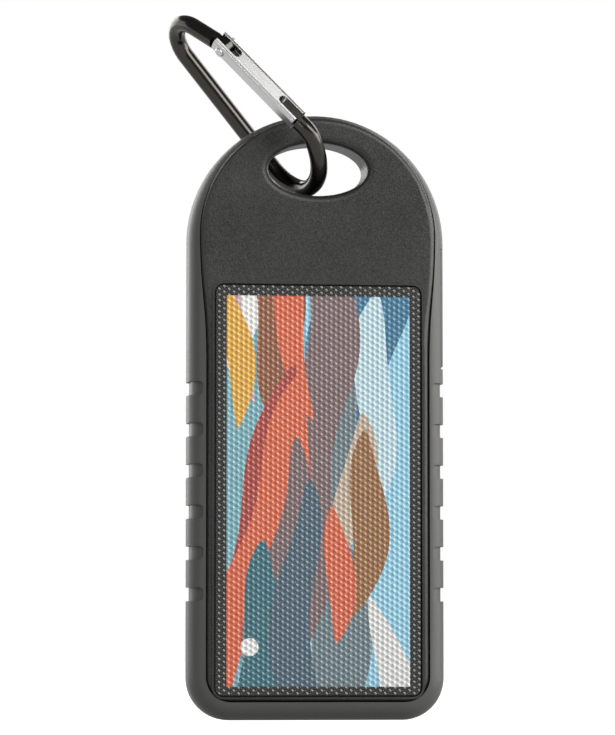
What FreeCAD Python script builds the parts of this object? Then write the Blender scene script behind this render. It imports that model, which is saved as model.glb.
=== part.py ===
# Solar phone charger with a clipped-on carabiner.
# Millimetres. X is the width, Y the depth (decorated face at -Y, solar face at +Y), Z the height.
# The origin is the centre of the bottom face, so the charger stands on z = 0.
import FreeCAD, Part
import math
import os

V = FreeCAD.Vector
X_AXIS, Y_AXIS, Z_AXIS = V(1, 0, 0), V(0, 1, 0), V(0, 0, 1)

# Body
body_width = 60.5
body_height = 142.0
body_thickness = 13.0            # over the raised lips of both faces
base_corner_r = 9.8              # bottom corners of the silhouette
lip_height = 0.2                 # raised lip round each recess
lip_width = 0.5
fit_gap = 0.05                   # between pieces pressed or glued together
pick_gap = 0.0001                # how near an edge lies to the place it is picked by
rim_room = 1.0                   # slack round the hole when its rim is picked
least_corner_r = 0.5             # of a piece that follows the recess inwards

# flat faces of the two hard shells
bumper_side = 3.85               # bumper seen beside the shells
bumper_top = 0.8                 # and over their arch
face_bottom_z = 4.2
face_flare = 1.5                 # how much wider each side is at the arch
face_flare_rise = 29.3           # height over which it widens
face_corner_r = 6.0
face_edge_r = 1.4
shell_wall = 1.6
recess_floor = 1.0
screw_boss_r = 2.1

# soft bumper round the edge
bumper_drop = 0.3                # bumper below the lips, each side
bumper_edge_r = 4.4
notch_depth = 0.7
notch_height = 3.2
notch_pitch = 9.6
notch_count = 6
notch_first_z = 29.3
notch_reach = 3.2                # from the silhouette inwards
notch_corner_r = 1.0

# recess of each face
recess_side = 5.75               # from the silhouette
recess_top_drop = 40.2           # from the top of the case
recess_bottom_z = 5.4
recess_corner_r = 2.3
recess_depth = 1.1
plate_gap = 0.35                 # dark gap round the plate and the solar panel
glue_thickness = 0.1
glue_inset = 4.0

# lanyard hole
hole_half_width = 11.75
hole_half_height = 6.2
hole_drop = 13.0                 # centre below the top of the case
hole_edge_r = 1.7
hole_wall = 1.8

# seal between the shells
seal_width = 0.7
seal_depth = 0.8
seal_inset = 0.45

# solar panel in the rear recess
solar_board_thickness = 0.5
cell_thickness = 0.2
laminate_thickness = 0.4
cell_columns = 2
cell_rows = 5
cell_margin = 3.0
cell_gap = 1.2
ribbon_width = 1.0
ribbon_thickness = 0.04
ribbon_end = 1.0                 # beyond the last cell

# battery and boards
battery_gap = 0.6                # to the screw bosses
battery_z = 8.0
battery_corner_r = 1.5
battery_edge_r = 1.0
pad_thickness = 1.2
pad_inset = 4.3                  # narrower than the battery, each side
pad_corner_r = 2.0
guard_board_height = 3.6
guard_board_width = 34.0
guard_board_thickness = 0.8
guard_board_gap = 0.1
board_thickness = 1.0
board_left_gap = 1.8             # to the shell walls
board_right_gap = 0.8
board_top_gap = 4.0              # below the hole's wall
board_height = 33.0
board_y = -0.5                   # front face of the circuit board
lead_r = 0.55
lead_play = 0.15
lead_run = 3.3                   # free length between battery and board
lead_spread = 4.0
solar_lead_spread = 3.0
solar_lead_drop = 4.0            # below the top of the recess
chip_size = 7.0
chip_height = 1.0
chip_x = -12.0
chip_rise = 12.0
inductor_size = 6.5
inductor_rise = 11.0
part_clear = 0.7                 # tall parts to the recess floor
capacitor_r = 1.6
capacitor_x = -18.0
capacitor_rise = 6.0
capacitor_pitch = 4.2
capacitor_count = 3
capacitor_clear = 1.1

# sockets on the right-hand side
usb_width = 13.1
usb_height = 5.7
usb_depth = 14.0
usb_sheet = 0.3
usb_rise = 8.2                   # centres above the board's lower edge
micro_width = 7.5
micro_height = 2.9
micro_depth = 5.2
micro_rise = 20.6
socket_set_back = 0.2            # mouths inside the shell's side
socket_gap = 0.2
socket_fit = 0.02
socket_back = 1.2                # plastic back wall
tongue_end_gap = 1.0
usb_tongue_thickness = 1.8
micro_tongue_thickness = 0.6

# rubber cover over the sockets
cover_drop = 1.4                 # below the board's lower edge
cover_height = 27.8
cover_side_gap = 2.1             # narrower than the bumper, each side
cover_thickness = 2.1
cover_gap = 0.3
plug_length = 1.75
plug_gap = 0.35

# rear controls
control_rise = 9.2               # above the recess
button_x = -14.0
button_r = 3.4
button_gap = 0.12
button_proud = 0.3
button_flange = 0.7
button_travel = 0.5
button_edge_r = 0.5
button_flange_thickness = 0.8
button_flange_gap = 0.1
switch_size = 4.6
switch_height = 1.6
plunger_r = 1.2
plunger_height = 0.7
plunger_play = 0.1
light_pitch = 3.4
light_count = 4
light_x = -5.6                   # first indicator
light_r = 0.9
light_chip = 1.6
light_chip_height = 0.8
light_chip_gap = 0.2
pipe_gap = 0.02
torch_x = 15.0
torch_r = 4.6
torch_wall = 0.6
torch_lens_thickness = 1.0
torch_chip = 3.2
torch_chip_height = 0.7
torch_cup_gap = 0.1
torch_cone_share = 0.75          # of the chip, at the cone's foot
torch_lens_sink = 0.1

# case screws, heads hidden under the solar panel
screw_inset = 2.6                # from the side of the recess
screw_zs = (12.0, 44.0, 76.0)
screw_r = 0.75
screw_head_r = 1.45
screw_head_height = 0.9
screw_depth = 3.2                # into the front shell
screw_play = 0.1
screw_sink = 0.05                # head below the recess floor
screw_slot_width = 0.4
screw_slot_depth = 0.35

# carabiner: in its own plane, l runs along the spine and w from the spine to the gate
rod_r = 2.0
spine_start = 7.71
spine_end = 41.19
far_bend_r = 6.66
near_corner_r = 9.0
near_flat_less = 3.5            # closed end's straight, less than the case is thick
near_bend_r = 16.7
near_arm_angle = 52.0           # slope of the nose arm from the loop's closed end
nose_bend_r = 4.6
pin_l = 36.57
pin_beyond = 5.34                # pivot pin across the loop, more than the case is thick
gate_angle = 13.4               # gate leans away from the spine towards the nose
gate_length = 27.0
gate_tail = 2.5                  # beyond the pivot pin
gate_width = 4.4
gate_depth = 4.0
gate_edge_r = 1.0
slot_width = 2.1
hinge_slot = 4.4                 # past the pivot pin
nose_slot = 6.5
nose_web = 0.9                   # closed inner side of the nose slot
tongue_thickness = 1.9
tongue_width = 3.8
tongue_root = 0.8                # inside the rod's end
nose_tongue_inner = 0.1          # clear of the slot's web
nose_tongue_outer = 0.15         # below the gate's outer side
nose_reach = 5.0                 # nose tongue inside the gate
nose_gap = 0.5                   # between the gate's end and the nose shoulder
shoulder_gap = 1.0
pin_r = 0.7
pin_play = 0.05
pin_head_r = 1.2
pin_head_height = 0.55
pin_head_edge_r = 0.42
spring_bore_r = 1.0
spring_length = 5.0
spring_wire_r = 0.13
spring_turns = 6
spring_play = 0.1
plunger_pin_length = 1.6
clip_lean = 38.4                 # the loop leans left of upright, degrees
clip_twist = 18.0                # and is turned about its own length
clip_x = -3.85                   # start of the spine's line
clip_gap = 0.5                   # behind the lip
clip_drop = 4.17                 # below the hole's centre

# Derived places
half_thickness = body_thickness / 2
bumper_thickness = body_thickness - 2 * bumper_drop
face_y = half_thickness - lip_height
recess_floor_y = face_y - recess_depth
cavity_y = recess_floor_y - recess_floor
arch_z = body_height - body_width / 2
face_half_width = body_width / 2 - bumper_side
face_arch_z = body_height - bumper_top - face_half_width - face_flare
face_flare_start_z = face_arch_z - face_flare_rise
recess_width = body_width - 2 * recess_side
recess_top_z = body_height - recess_top_drop
recess_height = recess_top_z - recess_bottom_z
recess_z = (recess_top_z + recess_bottom_z) / 2
hole_z = body_height - hole_drop
control_z = recess_top_z + control_rise
screw_x = recess_width / 2 - screw_inset
board_top_z = hole_z - hole_half_height - hole_wall - board_top_gap
board_bottom_z = board_top_z - board_height
board_left_x = board_left_gap - (face_half_width - shell_wall)
board_right_x = face_half_width - shell_wall - board_right_gap
usb_z = board_bottom_z + usb_rise
micro_z = board_bottom_z + micro_rise
socket_mouth_x = face_half_width - socket_set_back
cover_bottom_z = board_bottom_z - cover_drop
cover_top_z = cover_bottom_z + cover_height
cover_half_thickness = bumper_thickness / 2 - cover_side_gap
cover_inner_x = body_width / 2 - cover_thickness
battery_thickness = 2 * (cavity_y - pad_thickness)
battery_width = 2 * (screw_x - screw_boss_r - battery_gap)
battery_top_z = board_bottom_z - lead_run - guard_board_height - guard_board_gap
inductor_height = cavity_y + board_y - part_clear
capacitor_height = cavity_y + board_y - capacitor_clear
gate_dir = (-math.cos(math.radians(gate_angle)), math.sin(math.radians(gate_angle)))
near_flat = body_thickness - near_corner_r - near_flat_less
pin_w = body_thickness + pin_beyond
clip_origin = V(clip_x, half_thickness + rod_r + clip_gap, hole_z - clip_drop)


# Helpers
def box(x0, x1, y0, y1, z0, z1):
    return Part.makeBox(x1 - x0, y1 - y0, z1 - z0, V(x0, y0, z0))


def rod_y(x, z, r, y0, y1):
    return Part.makeCylinder(r, y1 - y0, V(x, y0, z), Y_AXIS)


def slab(wire, y0, y1):
    face = Part.Face(wire)
    solid = face.extrude(V(0, y1 - y0, 0))
    solid.translate(V(0, y0, 0))
    return solid


def edges_at_y(solid, y):
    """Edges that lie in the plane at this depth."""
    found = []
    for edge in solid.Edges:
        middle = edge.valueAt((edge.FirstParameter + edge.LastParameter) / 2)
        points = [vertex.Point for vertex in edge.Vertexes] + [middle]
        if all(abs(point.y - y) < pick_gap for point in points):
            found.append(edge)
    return found


def arc(start, middle, end):
    return Part.Arc(start, middle, end).toShape()


def line(start, end):
    return Part.LineSegment(start, end).toShape()


def xz(x, z):
    return V(x, 0, z)


def corner_point(cx, cz, r, degrees):
    return xz(cx + r * math.cos(math.radians(degrees)), cz + r * math.sin(math.radians(degrees)))


def body_wire(inset):
    """Silhouette of the bumper: straight foot, round corners, half-round top."""
    half = body_width / 2 - inset
    r = base_corner_r - inset
    foot = inset
    cx, cz = half - r, foot + r
    return Part.Wire([
        line(xz(-cx, foot), xz(cx, foot)),
        arc(xz(cx, foot), corner_point(cx, cz, r, -45), xz(half, cz)),
        line(xz(half, cz), xz(half, arch_z)),
        arc(xz(half, arch_z), xz(0, arch_z + half), xz(-half, arch_z)),
        line(xz(-half, arch_z), xz(-half, cz)),
        arc(xz(-half, cz), corner_point(-cx, cz, r, -135), xz(-cx, foot)),
    ])


def flare_arcs(side, half):
    """Two equal arcs that carry a shell's side out from the panel zone to the arch."""
    rise = face_arch_z - face_flare_start_z
    turn = 2 * math.atan(face_flare / rise)
    r = rise / (2 * math.sin(turn))
    middle = xz(side * (half + face_flare / 2), face_flare_start_z + rise / 2)
    bulge = r * (1 - math.cos(turn / 2))
    lower = xz(side * (half + bulge), face_flare_start_z + r * math.sin(turn / 2))
    upper = xz(side * (half + face_flare - bulge), face_arch_z - r * math.sin(turn / 2))
    return (arc(xz(side * half, face_flare_start_z), lower, middle),
            arc(middle, upper, xz(side * (half + face_flare), face_arch_z)))


def face_wire(inset):
    """Outline of the hard shells inside the bumper."""
    half = face_half_width - inset
    top = half + face_flare
    r = face_corner_r - inset
    foot = face_bottom_z + inset
    cx, cz = half - r, foot + r
    right, left = flare_arcs(1, half), flare_arcs(-1, half)
    return Part.Wire([
        line(xz(-cx, foot), xz(cx, foot)),
        arc(xz(cx, foot), corner_point(cx, cz, r, -45), xz(half, cz)),
        line(xz(half, cz), xz(half, face_flare_start_z)),
        right[0], right[1],
        arc(xz(top, face_arch_z), xz(0, face_arch_z + top), xz(-top, face_arch_z)),
        left[1], left[0],
        line(xz(-half, face_flare_start_z), xz(-half, cz)),
        arc(xz(-half, cz), corner_point(-cx, cz, r, -135), xz(-cx, foot)),
    ])


def rounded_rect_wire(cx, cz, width, height, r):
    x0, x1, z0, z1 = cx - width / 2, cx + width / 2, cz - height / 2, cz + height / 2
    return Part.Wire([
        line(xz(x0 + r, z0), xz(x1 - r, z0)),
        arc(xz(x1 - r, z0), corner_point(x1 - r, z0 + r, r, -45), xz(x1, z0 + r)),
        line(xz(x1, z0 + r), xz(x1, z1 - r)),
        arc(xz(x1, z1 - r), corner_point(x1 - r, z1 - r, r, 45), xz(x1 - r, z1)),
        line(xz(x1 - r, z1), xz(x0 + r, z1)),
        arc(xz(x0 + r, z1), corner_point(x0 + r, z1 - r, r, 135), xz(x0, z1 - r)),
        line(xz(x0, z1 - r), xz(x0, z0 + r)),
        arc(xz(x0, z0 + r), corner_point(x0 + r, z0 + r, r, -135), xz(x0 + r, z0)),
    ])


def recess_slab(inset, y0, y1):
    wire = rounded_rect_wire(0, recess_z, recess_width - 2 * inset, recess_height - 2 * inset,
                             max(recess_corner_r - inset, least_corner_r))
    return slab(wire, y0, y1)


def ellipse_slab(grow, y0, y1):
    curve = Part.Ellipse(V(hole_half_width + grow, 0, 0), V(0, hole_half_height + grow, 0), V(0, 0, 0))
    edge = curve.toShape()
    edge.rotate(V(0, 0, 0), X_AXIS, 90)
    edge.translate(V(0, 0, hole_z))
    return slab(Part.Wire([edge]), y0, y1)


def mirrored_y(solid):
    return solid.mirror(V(0, 0, 0), Y_AXIS)


def envelope(inset):
    """The bumper's outside, with its rounded front and rear edges."""
    half = bumper_thickness / 2 - inset
    solid = slab(body_wire(inset), -half, half)
    return solid.makeFillet(bumper_edge_r - inset, edges_at_y(solid, -half) + edges_at_y(solid, half))


nodes = {}


def keep(name, solid):
    nodes[name] = solid


# Shells
def plain_shell():
    """Half of the hard case, front side: face, walls, recess with its lip, hole and screw bosses."""
    outer = slab(face_wire(fit_gap), -face_y, 0)
    outer = outer.makeFillet(face_edge_r, edges_at_y(outer, -face_y))
    lip = recess_slab(-lip_width, -half_thickness, -face_y)
    outer = outer.fuse(lip).removeSplitter()
    cavity = slab(face_wire(fit_gap + shell_wall), -cavity_y, 0)
    cavity = cavity.cut(ellipse_slab(hole_wall, -cavity_y, 0))
    for x in (-screw_x, screw_x):
        for z in screw_zs:
            cavity = cavity.cut(rod_y(x, z, screw_boss_r, -cavity_y, 0))
    shell = outer.cut(cavity).cut(recess_slab(0, -half_thickness, -recess_floor_y))
    hole = ellipse_slab(0, -face_y, 0)
    shell = shell.cut(hole)
    rim = [e for e in edges_at_y(shell, -face_y)
           if abs(e.BoundBox.Center.z - hole_z) < rim_room
           and e.BoundBox.XLength < 2 * hole_half_width + rim_room]
    shell = shell.makeFillet(hole_edge_r, rim)
    seal_cut = slab(face_wire(seal_inset), -seal_depth / 2, 0)
    seal_cut = seal_cut.cut(slab(face_wire(seal_inset + seal_width), -seal_depth / 2, 0))
    return shell.cut(seal_cut)


def port_openings():
    """Socket mouths through the right-hand wall of both shells."""
    grow = socket_gap
    x0 = face_half_width - 2 * shell_wall
    usb = box(x0, body_width / 2, -usb_height / 2 - grow, usb_height / 2 + grow,
              usb_z - usb_width / 2 - grow, usb_z + usb_width / 2 + grow)
    micro = box(x0, body_width / 2, -micro_height / 2 - grow, micro_height / 2 + grow,
                micro_z - micro_width / 2 - grow, micro_z + micro_width / 2 + grow)
    return usb.fuse(micro)


def light_places():
    return [light_x + i * light_pitch for i in range(light_count)]


def build_shells():
    half = plain_shell().cut(port_openings())
    front = half
    for x in (-screw_x, screw_x):
        for z in screw_zs:
            front = front.cut(rod_y(x, z, screw_r, -screw_depth, 0))
    rear = mirrored_y(half)
    for x in (-screw_x, screw_x):
        for z in screw_zs:
            rear = rear.cut(rod_y(x, z, screw_r + fit_gap, 0, recess_floor_y))
            rear = rear.cut(rod_y(x, z, screw_head_r + screw_play,
                                  recess_floor_y - screw_head_height - screw_play, recess_floor_y))
    rear = rear.cut(rod_y(button_x, control_z, button_r + button_gap, 0, face_y))
    for x in light_places():
        rear = rear.cut(rod_y(x, control_z, light_r, 0, face_y))
    rear = rear.cut(rod_y(torch_x, control_z, torch_r, 0, face_y))
    for x in (-solar_lead_spread, solar_lead_spread):
        rear = rear.cut(rod_y(x, recess_top_z - solar_lead_drop, lead_r + lead_play, 0, recess_floor_y))
    keep("front_shell", front)
    keep("rear_shell", rear)
    seal = slab(face_wire(seal_inset), -seal_depth / 2, seal_depth / 2)
    seal = seal.cut(slab(face_wire(seal_inset + seal_width), -seal_depth / 2, seal_depth / 2))
    keep("shell_seal", seal.cut(port_openings()))


# Bumper and port cover
def notch_slot(side, z):
    """A slot across the bumper's edge with round inner corners."""
    width = 2 * notch_reach
    wire = rounded_rect_wire(side * body_width / 2, z, width, notch_height, notch_corner_r)
    return slab(wire, -bumper_thickness, bumper_thickness)


def build_bumper():
    outside = envelope(0)
    core = envelope(notch_depth)
    notches = []
    for side in (-1, 1):
        for i in range(notch_count):
            notches.append(notch_slot(side, notch_first_z + i * notch_pitch))
    cuts = Part.makeCompound(notches).cut(core)
    ring = outside.cut(cuts).cut(slab(face_wire(0), -bumper_thickness, bumper_thickness))
    reach = cover_half_thickness + cover_gap
    ring = ring.cut(box(face_half_width - shell_wall, body_width, -reach, reach,
                        cover_bottom_z - cover_gap, cover_top_z + cover_gap))
    keep("bumper", max(ring.Solids, key=lambda s: s.Volume))
    return outside


def build_port_cover(outside):
    z0, z1, half = cover_bottom_z, cover_top_z, cover_half_thickness
    plate = outside.common(box(cover_inner_x, body_width, -half, half, z0, z1))
    r = (body_width / 2 - cover_inner_x) / 2
    knuckle = Part.makeCylinder(r, 2 * half, V(cover_inner_x + r, -half, z0 + r), Y_AXIS)
    foot = box(cover_inner_x, body_width, -half, half, z0, z0 + r)
    plate = plate.cut(foot.cut(knuckle))
    for z, width, height in ((usb_z, usb_width, usb_height), (micro_z, micro_width, micro_height)):
        w = width - 2 * (usb_sheet + plug_gap)
        h = height - 2 * (usb_sheet + plug_gap)
        stem = box(cover_inner_x - plug_length, cover_inner_x + fit_gap, -h / 2, h / 2, z - w / 2, z + w / 2)
        plate = plate.fuse(stem)
    keep("port_cover", plate.removeSplitter())


# Faces
def build_faces():
    y = recess_floor_y
    keep("face_glue", recess_slab(glue_inset, -y - glue_thickness, -y))
    keep("face_plate", recess_slab(plate_gap, -face_y, -y - glue_thickness))
    keep("solar_glue", recess_slab(glue_inset, y, y + glue_thickness))
    board_y1 = y + glue_thickness + solar_board_thickness
    keep("solar_board", recess_slab(plate_gap, y + glue_thickness, board_y1))
    inner_w = recess_width - 2 * (plate_gap + cell_margin)
    inner_h = recess_height - 2 * (plate_gap + cell_margin)
    w = (inner_w - (cell_columns - 1) * cell_gap) / cell_columns
    h = (inner_h - (cell_rows - 1) * cell_gap) / cell_rows
    cells, ribbons = [], []
    for i in range(cell_columns):
        x = -inner_w / 2 + i * (w + cell_gap)
        for j in range(cell_rows):
            z = recess_z - inner_h / 2 + j * (h + cell_gap)
            cells.append(box(x, x + w, board_y1, board_y1 + cell_thickness, z, z + h))
        for k in (1, 3):
            rx = x + w * k / 4
            ribbons.append(box(rx - ribbon_width / 2, rx + ribbon_width / 2, board_y1 + cell_thickness,
                               board_y1 + cell_thickness + ribbon_thickness,
                               recess_z - inner_h / 2 - ribbon_end, recess_z + inner_h / 2 + ribbon_end))
    keep("solar_cells", Part.makeCompound(cells))
    keep("solar_ribbons", Part.makeCompound(ribbons))
    laminate_y = board_y1 + cell_thickness + ribbon_thickness
    keep("solar_laminate", recess_slab(plate_gap, laminate_y, laminate_y + laminate_thickness))


# Inside
def build_battery():
    half = battery_thickness / 2
    height = battery_top_z - battery_z
    middle_z = battery_z + height / 2
    cell = slab(rounded_rect_wire(0, middle_z, battery_width, height, battery_corner_r), -half, half)
    keep("battery_cell", cell.makeFillet(battery_edge_r, edges_at_y(cell, -half) + edges_at_y(cell, half)))
    keep("battery_pad", slab(rounded_rect_wire(0, middle_z, battery_width - 2 * pad_inset,
                                               height - 2 * pad_inset, pad_corner_r), -cavity_y, -half))
    z0 = battery_top_z + guard_board_gap
    z1 = z0 + guard_board_height
    keep("battery_guard_board", box(-guard_board_width / 2, guard_board_width / 2,
                                    -guard_board_thickness / 2, guard_board_thickness / 2, z0, z1))
    leads = [Part.makeCylinder(lead_r, board_bottom_z - z1, V(x, 0, z1))
             for x in (-lead_spread, lead_spread)]
    keep("battery_leads", Part.makeCompound(leads))


def socket(width, height, depth, z):
    """A folded steel socket shell, open to +X."""
    x0, x1 = socket_mouth_x - depth, socket_mouth_x
    outer = box(x0, x1, -height / 2, height / 2, z - width / 2, z + width / 2)
    t = usb_sheet
    inner = box(x0 + t, x1, -height / 2 + t, height / 2 - t, z - width / 2 + t, z + width / 2 - t)
    return outer.cut(inner)


def socket_tongue(width, height, depth, z, thickness):
    """The plastic back wall and contact tongue inside a socket shell."""
    t = usb_sheet + socket_fit
    x0 = socket_mouth_x - depth + t
    x1 = x0 + socket_back
    side = width / 2 - tongue_end_gap
    back = box(x0, x1, -height / 2 + t, height / 2 - t, z - width / 2 + t, z + width / 2 - t)
    tongue = box(x1, socket_mouth_x - tongue_end_gap, 0, thickness, z - side, z + side)
    return back.fuse(tongue).removeSplitter()


def build_electronics():
    y0, y1 = board_y, board_y + board_thickness
    board = box(board_left_x, board_right_x, y0, y1, board_bottom_z, board_top_z)
    for z, width, depth in ((usb_z, usb_width, usb_depth), (micro_z, micro_width, micro_depth)):
        board = board.cut(box(socket_mouth_x - depth - socket_gap, board_right_x, y0, y1,
                              z - width / 2 - socket_gap, z + width / 2 + socket_gap))
    keep("circuit_board", board)
    keep("usb_socket", socket(usb_width, usb_height, usb_depth, usb_z))
    keep("usb_tongue", socket_tongue(usb_width, usb_height, usb_depth, usb_z, usb_tongue_thickness))
    keep("charge_socket", socket(micro_width, micro_height, micro_depth, micro_z))
    keep("charge_tongue", socket_tongue(micro_width, micro_height, micro_depth, micro_z,
                                        micro_tongue_thickness))
    chip_z = board_bottom_z + chip_rise
    keep("controller_chip", box(chip_x, chip_x + chip_size, y0 - chip_height, y0,
                                chip_z, chip_z + chip_size))
    coil_z = board_bottom_z + inductor_rise
    keep("boost_inductor", box(0, inductor_size, y0 - inductor_height, y0, coil_z, coil_z + inductor_size))
    caps = [rod_y(capacitor_x + i * capacitor_pitch, board_bottom_z + capacitor_rise, capacitor_r,
                  y0 - capacitor_height, y0) for i in range(capacitor_count)]
    keep("board_capacitors", Part.makeCompound(caps))
    lead_z = recess_top_z - solar_lead_drop
    keep("solar_leads", Part.makeCompound([rod_y(x, lead_z, lead_r, y1, recess_floor_y)
                                           for x in (-solar_lead_spread, solar_lead_spread)]))


def build_controls():
    y1 = board_y + board_thickness
    half = switch_size / 2
    well = rod_y(button_x, control_z, plunger_r + plunger_play,
                 y1 + switch_height - button_travel - 2 * plunger_play, y1 + switch_height)
    body = box(button_x - half, button_x + half, y1, y1 + switch_height, control_z - half, control_z + half)
    keep("button_switch", body.cut(well))
    top = y1 + switch_height + plunger_height
    keep("switch_plunger", rod_y(button_x, control_z, plunger_r, y1 + switch_height - plunger_play, top))
    cap = rod_y(button_x, control_z, button_r, top, face_y + button_proud)
    cap = cap.makeFillet(button_edge_r, edges_at_y(cap, face_y + button_proud))
    flange = rod_y(button_x, control_z, button_r + button_flange,
                   cavity_y - button_flange_gap - button_flange_thickness, cavity_y - button_flange_gap)
    keep("power_button", cap.fuse(flange).removeSplitter())
    chips, pipes = [], []
    c = light_chip / 2
    for x in light_places():
        chips.append(box(x - c, x + c, y1, y1 + light_chip_height, control_z - c, control_z + c))
        pipes.append(rod_y(x, control_z, light_r - pipe_gap, y1 + light_chip_height + light_chip_gap, face_y))
    keep("indicator_leds", Part.makeCompound(chips))
    keep("indicator_lenses", Part.makeCompound(pipes))
    c = torch_chip / 2
    keep("torch_led", box(torch_x - c, torch_x + c, y1, y1 + torch_chip_height, control_z - c, control_z + c))
    lens_y = face_y - torch_lens_thickness
    cup_y = y1 + torch_cup_gap
    cone = Part.makeCone(torch_chip * torch_cone_share, torch_r - torch_wall, lens_y - cup_y,
                         V(torch_x, cup_y, control_z), Y_AXIS)
    keep("torch_reflector", rod_y(torch_x, control_z, torch_r - pipe_gap, cup_y, lens_y).cut(cone))
    keep("torch_lens", rod_y(torch_x, control_z, torch_r - pipe_gap, lens_y, face_y - torch_lens_sink))


def build_screws():
    screws = []
    y1 = recess_floor_y - screw_sink
    half = screw_slot_width / 2
    for x in (-screw_x, screw_x):
        for z in screw_zs:
            head = rod_y(x, z, screw_head_r, y1 - screw_head_height, y1)
            slot = box(x - screw_head_r, x + screw_head_r, y1 - screw_slot_depth, y1, z - half, z + half)
            cross = box(x - half, x + half, y1 - screw_slot_depth, y1, z - screw_head_r, z + screw_head_r)
            shank = rod_y(x, z, screw_r, -screw_depth, y1 - screw_head_height)
            screws.append(head.cut(slot).cut(cross).fuse(shank).removeSplitter())
    keep("case_screws", Part.makeCompound(screws))


# Carabiner
def lw(l, w, n=0):
    return V(l, w, n)


def turn_point(centre, r, degrees):
    a = math.radians(degrees)
    return lw(centre[0] + r * math.cos(a), centre[1] + r * math.sin(a))


def along_gate(distance):
    """Point on the gate's centre line, measured from the pivot pin towards the nose."""
    return lw(pin_l + gate_dir[0] * distance, pin_w + gate_dir[1] * distance)


def rod_path():
    """Centre line of the frame: nose shoulder, nose arm, closed end, spine, far bend, hinge shoulder."""
    a = math.radians(near_arm_angle)
    arm_dir = (math.sin(a), math.cos(a))
    low_l = spine_start - near_corner_r
    bend_c = (low_l + near_bend_r, near_corner_r + near_flat)
    arm_start = (bend_c[0] - near_bend_r * math.cos(a), bend_c[1] + near_bend_r * math.sin(a))
    # where the nose arm's line meets the gate's centre line
    det = arm_dir[0] * -gate_dir[1] + arm_dir[1] * gate_dir[0]
    dl, dw = pin_l - arm_start[0], pin_w - arm_start[1]
    t = (dl * -gate_dir[1] + dw * gate_dir[0]) / det
    knee = (arm_start[0] + arm_dir[0] * t, arm_start[1] + arm_dir[1] * t)
    cosine = -(arm_dir[0] * gate_dir[0] + arm_dir[1] * gate_dir[1])
    turn = math.acos(cosine)
    trim = nose_bend_r * math.tan(turn / 2)
    before = lw(knee[0] - arm_dir[0] * trim, knee[1] - arm_dir[1] * trim)
    after = lw(knee[0] - gate_dir[0] * trim, knee[1] - gate_dir[1] * trim)
    to_centre = V(-gate_dir[0] - arm_dir[0], -gate_dir[1] - arm_dir[1], 0).normalize()
    centre = V(knee[0], knee[1], 0) + to_centre * (nose_bend_r / math.cos(turn / 2))
    middle = centre - to_centre * nose_bend_r
    shoulder = along_gate(gate_length - gate_tail + nose_gap)
    bend_mid = lw(bend_c[0] - near_bend_r * math.cos(a / 2), bend_c[1] + near_bend_r * math.sin(a / 2))
    corner_c = (spine_start, near_corner_r)
    far_c = (spine_end, far_bend_r)
    # the hinge arm leaves the far bend on the line to the pivot pin
    reach = math.hypot(pin_l - spine_end, pin_w - far_bend_r)
    f = math.atan2(pin_w - far_bend_r, pin_l - spine_end) - math.acos(far_bend_r / reach) + math.pi / 2
    far_end = lw(far_c[0] + far_bend_r * math.sin(f), far_c[1] - far_bend_r * math.cos(f))
    far_mid = lw(far_c[0] + far_bend_r * math.sin(f / 2), far_c[1] - far_bend_r * math.cos(f / 2))
    to_pin = V(pin_l, pin_w, 0) - far_end
    to_pin.normalize()
    hinge_shoulder = V(pin_l, pin_w, 0) - to_pin * (gate_tail + shoulder_gap)
    edges = [
        line(shoulder, after),
        arc(after, middle, before),
        line(before, lw(*arm_start)),
        arc(lw(*arm_start), bend_mid, lw(low_l, bend_c[1])),
        line(lw(low_l, bend_c[1]), lw(low_l, near_corner_r)),
        arc(lw(low_l, near_corner_r), turn_point(corner_c, near_corner_r, -135), lw(spine_start, 0)),
        line(lw(spine_start, 0), lw(spine_end, 0)),
        arc(lw(spine_end, 0), far_mid, far_end),
        line(far_end, hinge_shoulder),
    ]
    return Part.Wire(edges), shoulder, hinge_shoulder, to_pin


def plate_between(start, end, width, thickness, round_end):
    """Flat tongue in the carabiner's plane from start to end, rounded about its end point."""
    run = end - start
    length = run.Length
    plate = Part.makeBox(length, width, thickness, V(0, -width / 2, -thickness / 2))
    if round_end:
        plate = plate.fuse(Part.makeCylinder(width / 2, thickness, V(length, 0, -thickness / 2)))
    plate.rotate(V(0, 0, 0), Z_AXIS, math.degrees(math.atan2(run.y, run.x)))
    plate.translate(start)
    return plate


def clip_frame():
    path, shoulder, hinge_shoulder, to_pin = rod_path()
    profile = Part.Wire([Part.makeCircle(rod_r, shoulder, lw(*gate_dir))])
    rod = path.makePipeShell([profile], True, True)
    pin = V(pin_l, pin_w, 0)
    hinge = plate_between(hinge_shoulder - to_pin * tongue_root, pin, tongue_width, tongue_thickness, True)
    inside = gate_length - gate_tail - nose_reach
    low = -gate_depth / 2 + nose_web + nose_tongue_inner
    high = gate_depth / 2 - nose_tongue_outer
    nose = plate_between(along_gate(gate_length - gate_tail + nose_gap + tongue_root), along_gate(inside),
                         high - low, tongue_thickness, False)
    nose.translate(lw(gate_dir[1], -gate_dir[0]) * ((high + low) / 2))
    solid = rod.fuse(hinge).fuse(nose)
    solid = solid.cut(Part.makeCylinder(pin_r + pin_play, 3 * gate_width, V(pin_l, pin_w, -1.5 * gate_width)))
    return solid.removeSplitter()


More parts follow.
